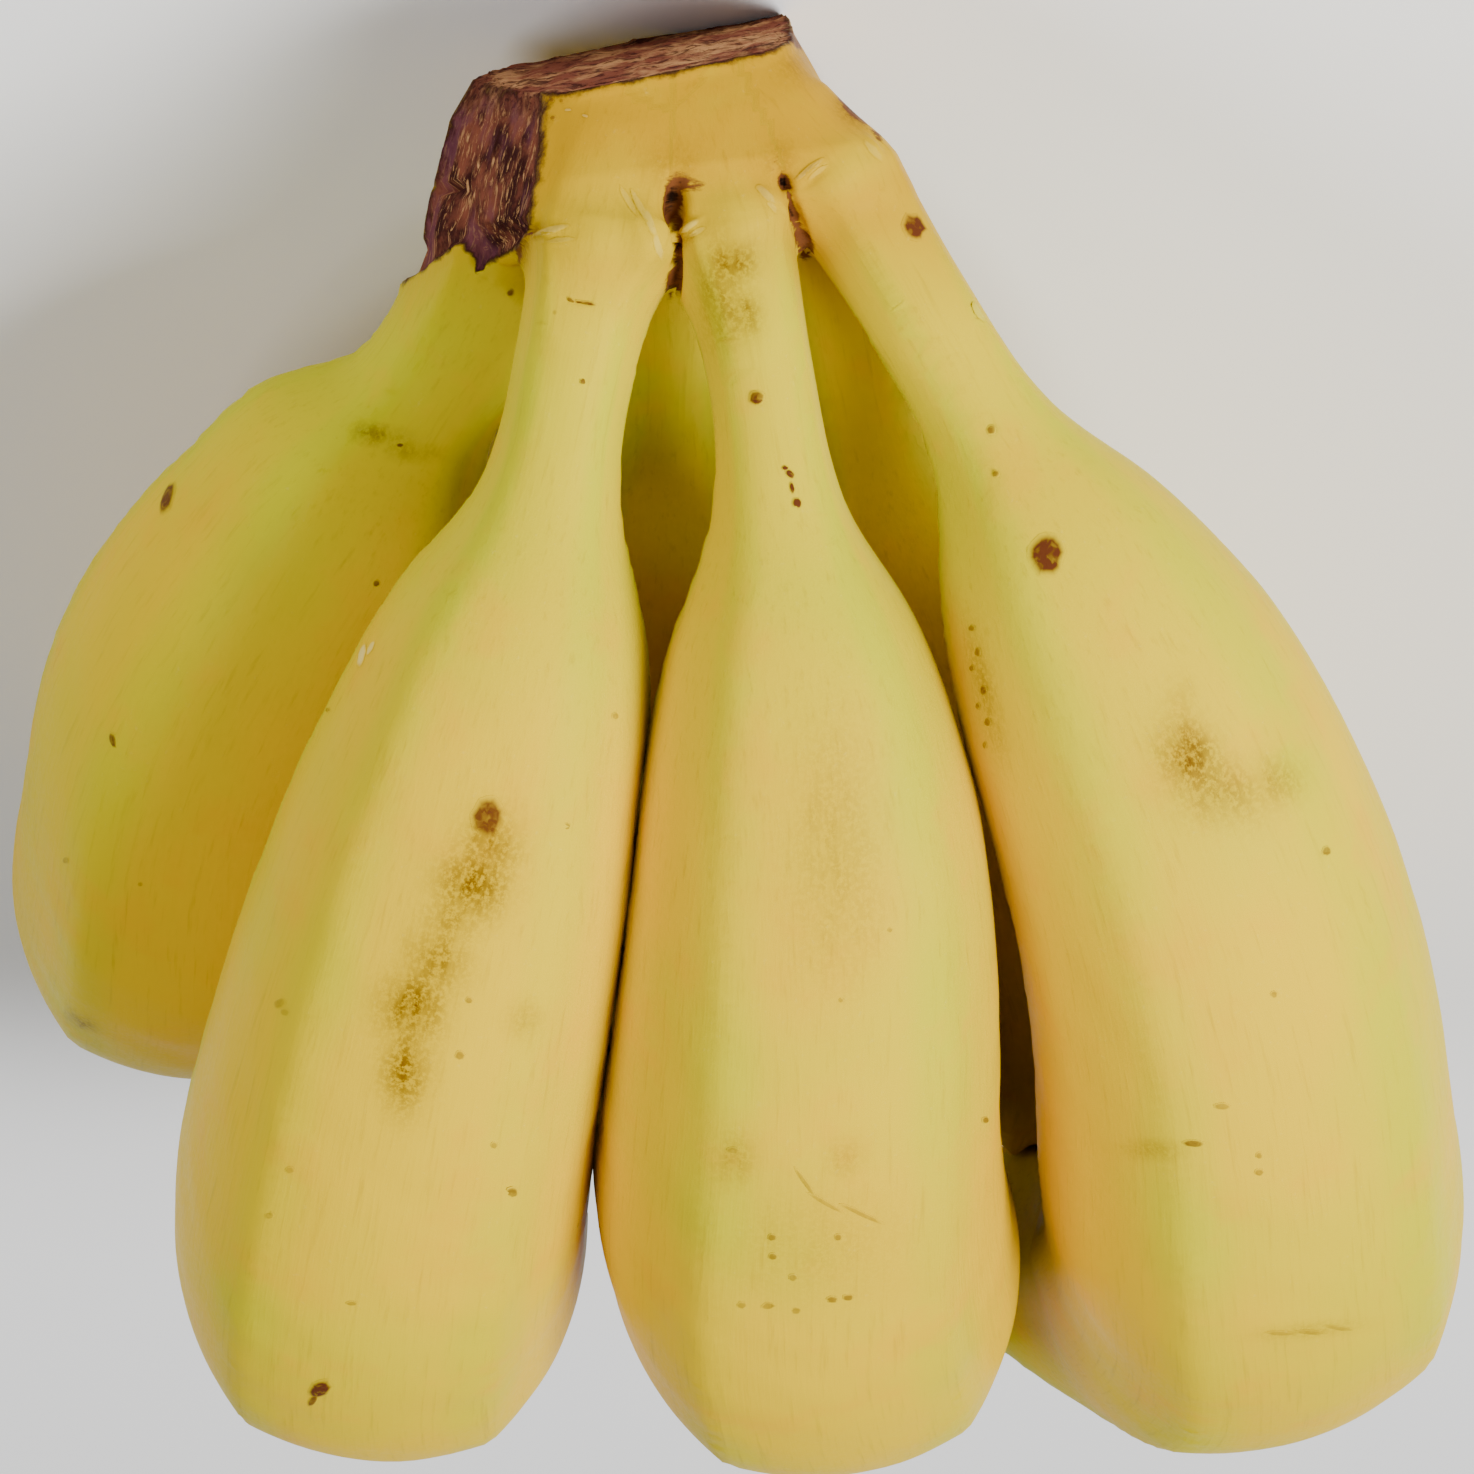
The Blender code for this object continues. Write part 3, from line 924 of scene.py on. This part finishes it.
def build_marks(skin):
    """The spots with an edge and the painted highlights, as small patches on the skin where the
    photo shows them.
    """
    tree = skin_tree(skin)
    names = ("grown", "hand", "along", "ridge", "stain_and_shade", "scar_and_shade", "cork", "crown", "knuckle")
    read = nearest_facts(skin, names)
    chance = np.random.default_rng(4)
    points, faces, values = [], [], {name: [] for name in names + ("spot",)}
    for x, y, half_width, half_height, turn, dark in SPOTS_AND_HIGHLIGHTS:
        angle = math.radians(turn)
        uneven = 1 + SPOT_UNEVEN * chance.normal(size=SPOT_SIDES)
        seen, shades = [], []
        for ring in SPOT_RINGS:
            for side in range(SPOT_SIDES if ring else 1):
                way = 2 * math.pi * side / SPOT_SIDES
                reach = ring * SPOT_WIDER * uneven[side]
                across = math.cos(way) * half_width * reach
                down = math.sin(way) * half_height * reach
                seen.append((
                    x + across * math.cos(angle) - down * math.sin(angle),
                    y + across * math.sin(angle) + down * math.cos(angle),
                ))
                shades.append(dark * float(smooth_step(1 - ring, 0.0, 0.4)))
        hits = first_hits(tree, seen)
        if any(hit[0] is None for hit in hits):
            continue
        depths = [hit[0].z for hit in hits]
        if max(depths) - min(depths) > SPOT_DEPTH_SPAN:
            continue
        start = len(points)
        for (spot, normal, face, _), shade in zip(hits, shades):
            points.append(spot + normal * SPOT_LIFT * (1 + 3 * abs(shade)))
            for name, value in read(spot, face).items():
                values[name].append(value)
            values["spot"].append(shade)
        first = start + 1
        for side in range(SPOT_SIDES):
            after = (side + 1) % SPOT_SIDES
            faces.append((start, first + after, first + side))
            for ring in range(len(SPOT_RINGS) - 2):
                low, high = first + ring * SPOT_SIDES, first + (ring + 1) * SPOT_SIDES
                faces.append((low + side, low + after, high + after, high + side))
    mesh = bpy.data.meshes.new("skin_marks_and_highlights")
    mesh.from_pydata(points, [], faces)
    for name, column in values.items():
        write_attribute(mesh, name, np.array(column))
    return mesh


# The dry blossom ends: the folds round one, the points to a fold, and its rings' places along it
# and widths, as shares of its length and its radius.
BLOSSOM_FOLDS = 7
POINTS_TO_A_FOLD = 6
BLOSSOM_SECTIONS = (
    (-0.35, 1.25),
    (0.0, 1.12),
    (0.25, 0.86),
    (0.55, 0.80),
    (0.85, 0.84),
    (0.96, 0.70),
    (0.80, 0.30),
)


def build_blossoms():
    """The dry, ragged remains of the flower at the end of each finger."""
    points, faces = [], []
    chance = np.random.default_rng(11)
    sides = BLOSSOM_FOLDS * POINTS_TO_A_FOLD
    turn = np.arange(sides) * 2 * math.pi / sides
    for finger in FINGERS.values():
        centre, along, across, outwards = finger_frames(finger, np.array([1.0]))
        shift = chance.uniform(0, 1)
        built = []
        for reach, wide in BLOSSOM_SECTIONS:
            past = max(reach, 0)
            ragged = 0.10 * np.cos(BLOSSOM_FOLDS * turn + shift * 6)
            ragged += 0.05 * chance.normal(size=sides)
            radius = BLOSSOM_RADIUS * wide * (1 + ragged * (0.5 + past))
            push = 0.10 * np.cos(BLOSSOM_FOLDS * turn + shift * 9) * past
            length = BLOSSOM_LENGTH * (reach + push - 0.06 * chance.uniform(size=sides) * past)
            built.append(
                centre[0]
                + along[0] * length[:, None]
                + (np.cos(turn) * radius)[:, None] * across[0]
                + (np.sin(turn) * radius)[:, None] * outwards[0]
            )
        made, made_faces = loft_faces(np.array(built))
        faces += [tuple(i + len(points) for i in face) for face in made_faces]
        points += [tuple(point) for point in made]
    mesh = bpy.data.meshes.new("blossom_ends")
    mesh.from_pydata(points, [], faces)
    work = bmesh.new()
    work.from_mesh(mesh)
    bmesh.ops.recalc_face_normals(work, faces=work.faces)
    work.to_mesh(mesh)
    work.free()
    return mesh


class Nodes:
    """A material's node tree, with short ways to add the nodes used here."""

    def __init__(self, name):
        self.material = bpy.data.materials.new(name)
        self.material.use_nodes = True
        self.tree = self.material.node_tree
        self.shader = self.tree.nodes["Principled BSDF"]

    def feed(self, socket, value):
        if isinstance(value, bpy.types.NodeSocket):
            self.tree.links.new(value, socket)
        else:
            socket.default_value = value

    def attribute(self, name, output="Fac"):
        node = self.tree.nodes.new("ShaderNodeAttribute")
        node.attribute_name = name
        return node.outputs[output]

    def scaled(self, vector, scale):
        node = self.tree.nodes.new("ShaderNodeMapping")
        self.feed(node.inputs["Vector"], vector)
        node.inputs["Scale"].default_value = scale
        return node.outputs["Vector"]

    def noise(self, vector, scale, detail=2.0, roughness=0.5, distortion=0.0):
        node = self.tree.nodes.new("ShaderNodeTexNoise")
        self.feed(node.inputs["Vector"], vector)
        node.inputs["Scale"].default_value = scale
        node.inputs["Detail"].default_value = detail
        node.inputs["Roughness"].default_value = roughness
        node.inputs["Distortion"].default_value = distortion
        return node.outputs["Fac"]

    def cells(self, vector, scale):
        node = self.tree.nodes.new("ShaderNodeTexVoronoi")
        self.feed(node.inputs["Vector"], vector)
        node.inputs["Scale"].default_value = scale
        return node.outputs["Distance"], node.outputs["Color"]

    def math(self, operation, *values, clamp=False):
        node = self.tree.nodes.new("ShaderNodeMath")
        node.operation = operation
        node.use_clamp = clamp
        for socket, value in zip(node.inputs, values):
            self.feed(socket, value)
        return node.outputs["Value"]

    def ramp(self, value, low, high, to_low=0.0, to_high=1.0):
        node = self.tree.nodes.new("ShaderNodeMapRange")
        node.interpolation_type = "SMOOTHSTEP"
        self.feed(node.inputs["Value"], value)
        limits = {"From Min": low, "From Max": high, "To Min": to_low, "To Max": to_high}
        for name, number in limits.items():
            node.inputs[name].default_value = number
        return node.outputs["Result"]

    def mix(self, share, first, second):
        node = self.tree.nodes.new("ShaderNodeMix")
        node.data_type = "RGBA"
        self.feed(node.inputs["Factor"], share)
        first_socket, second_socket = [s for s in node.inputs if s.type == "RGBA"]
        self.feed(first_socket, first)
        self.feed(second_socket, second)
        return next(s for s in node.outputs if s.type == "RGBA")

    def bump(self, height, distance, strength=1.0, normal=None):
        node = self.tree.nodes.new("ShaderNodeBump")
        node.inputs["Strength"].default_value = strength
        node.inputs["Distance"].default_value = distance
        self.feed(node.inputs["Height"], height)
        if normal is not None:
            self.feed(node.inputs["Normal"], normal)
        return node.outputs["Normal"]


def linear(red, green, blue):
    """A display colour, 0 to 255, as the linear colour that shaders take."""
    channels = []
    for value in (red, green, blue):
        share = value / 255
        channels.append(share / 12.92 if share <= 0.04045 else ((share + 0.055) / 1.055) ** 2.4)
    return (*channels, 1.0)


YELLOW = (0.80, 0.53, 0.0, 1.0)
GREENISH = (0.60, 0.56, 0.0, 1.0)
WARM = (0.84, 0.45, 0.001, 1.0)
CROWN_YELLOW = (0.60, 0.32, 0.0, 1.0)
KNUCKLE = (0.68, 0.47, 0.0, 1.0)
# Brown of the stains and the fibres' darker streaks, and of the painted shade in one crease.
STAIN_AND_SHADE_BROWN = linear(88, 40, 6)
SPOT_BROWN = linear(96, 50, 26)
# Browns of the crown's scars, also used for the painted shade in the clefts.
SCAR_AND_SHADE_MIDDLE = linear(112, 66, 34)
SCAR_AND_SHADE_DARK = linear(30, 16, 10)
WHITISH_AND_HIGHLIGHT = linear(240, 226, 150)
CORK_DARK = linear(60, 28, 26)
CORK_MIDDLE = linear(132, 74, 56)
CORK_PURPLE = linear(114, 64, 76)
CORK_TAN = linear(212, 158, 104)
BLOSSOM_DARK = linear(30, 20, 14)
BLOSSOM_BROWN = linear(86, 62, 42)
# The light that the skin throws back: how strong, and its tint.
GLOSS = 0.02
GLOSS_TINT = (1.0, 0.90, 0.55, 1.0)


def ripe_colour(n, grown, patches, fibres, fine):
    """Yellow peel, greener at its ridges and ends, golden at the crown, with fibres and specks."""
    along = n.attribute("along")
    broad = n.noise(grown, 28, 2)
    near_ends = n.math("MAXIMUM", n.ramp(along, 0.42, 0.10), n.ramp(along, 0.86, 0.99))
    on_ridges = n.ramp(n.attribute("ridge"), 0.55, 1.0)
    green = n.math("ADD", n.math("MULTIPLY", near_ends, 0.55), n.math("MULTIPLY", on_ridges, 0.40))
    green = n.math("ADD", green, n.ramp(broad, 0.35, 0.70, -0.25, 0.45), clamp=True)
    colour = n.mix(green, YELLOW, GREENISH)
    colour = n.mix(n.ramp(patches, 0.52, 0.75, 0.0, 0.45), colour, WARM)
    golden = n.math("MULTIPLY", n.attribute("crown"), n.ramp(patches, 0.3, 0.6, 0.8, 1.0))
    colour = n.mix(golden, colour, CROWN_YELLOW)
    colour = n.mix(n.math("MULTIPLY", n.attribute("knuckle"), 0.8), colour, KNUCKLE)
    darker = n.mix(0.30, colour, STAIN_AND_SHADE_BROWN)
    colour = n.mix(n.ramp(fibres, 0.52, 0.80, 0.0, 0.55), colour, darker)
    colour = n.mix(n.ramp(fine, 0.62, 0.88, 0.0, 0.12), colour, WHITISH_AND_HIGHLIGHT)

    far, chance = n.cells(grown, 140)
    speck = n.math("MULTIPLY", n.ramp(far, 0.055, 0.025), n.ramp(chance, 0.80, 0.84))
    return n.mix(n.math("MULTIPLY", speck, 0.55), colour, SPOT_BROWN)


def with_stains_spots_and_painted_light(n, colour, grown):
    """The colour with speckled stains and painted shade, the spots, and painted highlights."""
    grain = n.noise(grown, 1900, 3, 0.7)
    streaks = n.noise(n.scaled(grown, (1.0, 1.0, 0.22)), 800, 3, 0.6)
    speckled = n.math("MULTIPLY", n.ramp(grain, 0.36, 0.58), n.ramp(streaks, 0.30, 0.60, 0.40, 1.0))
    share = n.math("ADD", n.math("MULTIPLY", speckled, 0.60), 0.42)
    # The stain mask also paints the shade in the crease at the left inner finger's neck.
    blotch = n.math("MULTIPLY", n.attribute("stain_and_shade"), share, clamp=True)
    colour = n.mix(blotch, colour, STAIN_AND_SHADE_BROWN)

    spot = n.attribute("spot")
    uneven = n.ramp(n.noise(grown, 1200, 2), 0.2, 0.6, 0.75, 1.15)
    colour = n.mix(n.math("MULTIPLY", spot, uneven, clamp=True), colour, SPOT_BROWN)
    # Below nought the spot is a painted highlight: a whitish stroke over a fold.
    return n.mix(n.math("MULTIPLY", spot, -1.0, clamp=True), colour, WHITISH_AND_HIGHLIGHT)


def scarred_and_shaded(n, colour, hand):
    """The clefts' brown fibrous scars over the colour, dark in their middles, partly painted shade.
    """
    grain = n.noise(n.scaled(hand, (0.3, 1.0, 1.0)), 1300, 4, 0.7)
    uneven = n.math("MULTIPLY", n.math("SUBTRACT", grain, 0.5), 0.9)
    # The scar mask also paints the shade in the creases between the necks.
    scar_and_shade = n.math("ADD", n.attribute("scar_and_shade"), uneven)
    colour = n.mix(n.ramp(scar_and_shade, 0.26, 0.50), colour, SCAR_AND_SHADE_MIDDLE)
    return n.mix(n.ramp(scar_and_shade, 0.66, 0.90), colour, SCAR_AND_SHADE_DARK)


def cork_colour(n, hand, fibres):
    """Purple-brown cork with tan fibres down the cut side and grain across the cut top."""
    blotch = n.noise(hand, 190, 4, 0.6)
    patches = n.noise(n.scaled(hand, (1.0, 0.7, 1.0)), 120, 3, 0.6)
    side = n.mix(n.ramp(blotch, 0.40, 0.60), CORK_DARK, CORK_MIDDLE)
    side = n.mix(n.ramp(patches, 0.50, 0.62, 0.0, 0.7), side, CORK_PURPLE)
    tan = n.math("MULTIPLY", n.ramp(fibres, 0.53, 0.66), n.ramp(patches, 0.60, 0.46, 0.25, 0.9))
    side = n.mix(tan, side, CORK_TAN)
    grain = n.noise(n.scaled(hand, (0.12, 1.0, 0.5)), 1700, 4, 0.65, 0.6)
    top = n.mix(n.ramp(blotch, 0.42, 0.66, 0.0, 0.75), CORK_MIDDLE, CORK_TAN)
    top = n.mix(n.ramp(grain, 0.48, 0.62, 0.0, 0.85), top, CORK_DARK)
    return n.mix(n.attribute("cut_top"), side, top)


def peel_material(name, with_crown):
    """Ripe skin with fibres, stains, specks and painted light, and for the crown its scars and its
    cut cork.
    """
    n = Nodes(name)
    grown = n.attribute("grown", "Vector")
    patches = n.noise(grown, 90, 3, 0.6)
    fibres = n.noise(n.scaled(grown, (1.0, 1.0, 0.045)), 1500, 3, 0.65)
    fine = n.noise(grown, 1600, 2, 0.6)
    colour = with_stains_spots_and_painted_light(n, ripe_colour(n, grown, patches, fibres, fine), grown)
    rough = n.ramp(fine, 0.3, 0.7, 0.34, 0.44)
    height = n.math("ADD", n.math("MULTIPLY", fibres, 0.6), n.math("MULTIPLY", patches, 1.4))
    normal = n.bump(fine, 0.00006, 0.30, n.bump(height, 0.00022, 0.35))
    if with_crown:
        hand = n.attribute("hand", "Vector")
        edge = n.math("MULTIPLY", n.math("SUBTRACT", n.noise(hand, 420, 4, 0.7), 0.5), 1.6)
        depth = n.math("ADD", n.attribute("cork"), edge)
        share = n.ramp(depth, -0.10, 0.15)
        burnt = n.math("MULTIPLY", n.ramp(depth, -0.55, -0.05), n.ramp(depth, 0.55, 0.05))
        wood_fibres = n.noise(n.scaled(hand, (1.0, 0.14, 1.0)), 1900, 4, 0.65, 0.7)
        colour = n.mix(share, scarred_and_shaded(n, colour, hand), cork_colour(n, hand, wood_fibres))
        colour = n.mix(n.math("MULTIPLY", burnt, 0.85), colour, CORK_DARK)
        rough = n.math("ADD", rough, n.math("MULTIPLY", share, 0.45))
        normal = n.bump(n.math("MULTIPLY", wood_fibres, share), 0.0007, 0.8, normal)
    n.feed(n.shader.inputs["Base Color"], colour)
    n.feed(n.shader.inputs["Roughness"], rough)
    n.feed(n.shader.inputs["Normal"], normal)
    n.shader.inputs["Specular IOR Level"].default_value = GLOSS
    n.shader.inputs["Specular Tint"].default_value = GLOSS_TINT
    return n.material


def blossom_material():
    n = Nodes("dry_blossom")
    hand = n.attribute("hand", "Vector")
    patches = n.noise(hand, 500, 4, 0.7)
    colour = n.mix(n.ramp(patches, 0.35, 0.65), BLOSSOM_DARK, BLOSSOM_BROWN)
    n.feed(n.shader.inputs["Base Color"], colour)
    n.shader.inputs["Roughness"].default_value = 0.9
    n.feed(n.shader.inputs["Normal"], n.bump(patches, 0.0008, 0.8))
    return n.material


# The least distance that the pieces keep from the solid's box.
INSIDE_BOX = 1e-5


def add_piece(name, mesh, *materials):
    """A piece built in the hand's frame, laid down where the solid lies and held inside its box."""
    mesh.name = name
    for material in materials:
        mesh.materials.append(material)
    mesh.shade_smooth()
    mesh.transform(HAND_TO_WORLD)
    lowest, highest = (np.array(corner) for corner in CAD_BOX)
    place(mesh, np.clip(coordinates(mesh), lowest + INSIDE_BOX, highest - INSIDE_BOX))
    piece = in_scene(name, mesh)
    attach(piece, "root")
    return piece


# The studio: the floor's size and colour, the even light from all round, and the two soft square
# lights, each with its place in the hand's frame, its size and its power.
FLOOR_SIZE = 8.0
FLOOR_COLOUR = (0.93, 0.93, 0.93, 1.0)
FLOOR_ROUGHNESS = 0.9
AROUND_STRENGTH = 0.11
LIGHT_AIM = (0.0, -0.02, 0.0)
LIGHTS = {
    "key": ((0.74, -0.50, 0.84), 0.6, 28.0),
    "fill": ((-0.75, -0.50, 0.80), 0.6, 8.0),
}


def add_floor():
    bpy.ops.mesh.primitive_plane_add(size=FLOOR_SIZE, location=(0, 0, 0))
    floor = bpy.context.active_object
    floor.name = "floor"
    n = Nodes("pale_floor")
    n.shader.inputs["Base Color"].default_value = FLOOR_COLOUR
    n.shader.inputs["Roughness"].default_value = FLOOR_ROUGHNESS
    floor.data.materials.append(n.material)


def add_light(name, place_in_hand, size, power):
    """A soft square light, placed in the hand's frame and aimed at the hand."""
    data = bpy.data.lights.new(name, "AREA")
    data.shape = "SQUARE"
    data.size = size
    data.energy = power
    light = in_scene(name, data)
    start = HAND_TO_WORLD @ Vector(place_in_hand)
    end = HAND_TO_WORLD @ Vector(LIGHT_AIM)
    light.location = start
    light.rotation_mode = "QUATERNION"
    light.rotation_quaternion = (end - start).to_track_quat("-Z", "Y")


def add_lights():
    world = bpy.data.worlds.new("studio")
    world.use_nodes = True
    background = world.node_tree.nodes["Background"]
    background.inputs["Color"].default_value = (1.0, 1.0, 1.0, 1.0)
    background.inputs["Strength"].default_value = AROUND_STRENGTH
    bpy.context.scene.world = world
    for name, (place_in_hand, size, power) in LIGHTS.items():
        add_light(name, place_in_hand, size, power)


def add_camera():
    data = bpy.data.cameras.new("photo_camera")
    data.sensor_width = SENSOR
    data.lens = SENSOR * FOCAL_PIXELS / PHOTO_SIZE
    data.clip_start = 0.01
    data.clip_end = 20.0
    camera = in_scene("photo_camera", data)
    camera.matrix_world = HAND_TO_WORLD @ Matrix.Translation((0, 0, CAMERA_DISTANCE))
    bpy.context.scene.camera = camera


def main():
    skin = build_skin(Hand())
    marks = build_marks(skin)
    blossoms = build_blossoms()
    write_attribute(blossoms, "hand", coordinates(blossoms))
    body_peel = peel_material("banana_peel", False)
    crown_peel = peel_material("banana_crown", True)
    skin_piece = add_piece("peel", skin, body_peel, crown_peel)
    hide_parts("banana_bunch")
    add_piece("skin_marks_and_highlights", marks, crown_peel)
    add_piece("blossom_ends", blossoms, blossom_material())
    add_floor()
    add_lights()
    add_camera()


main()
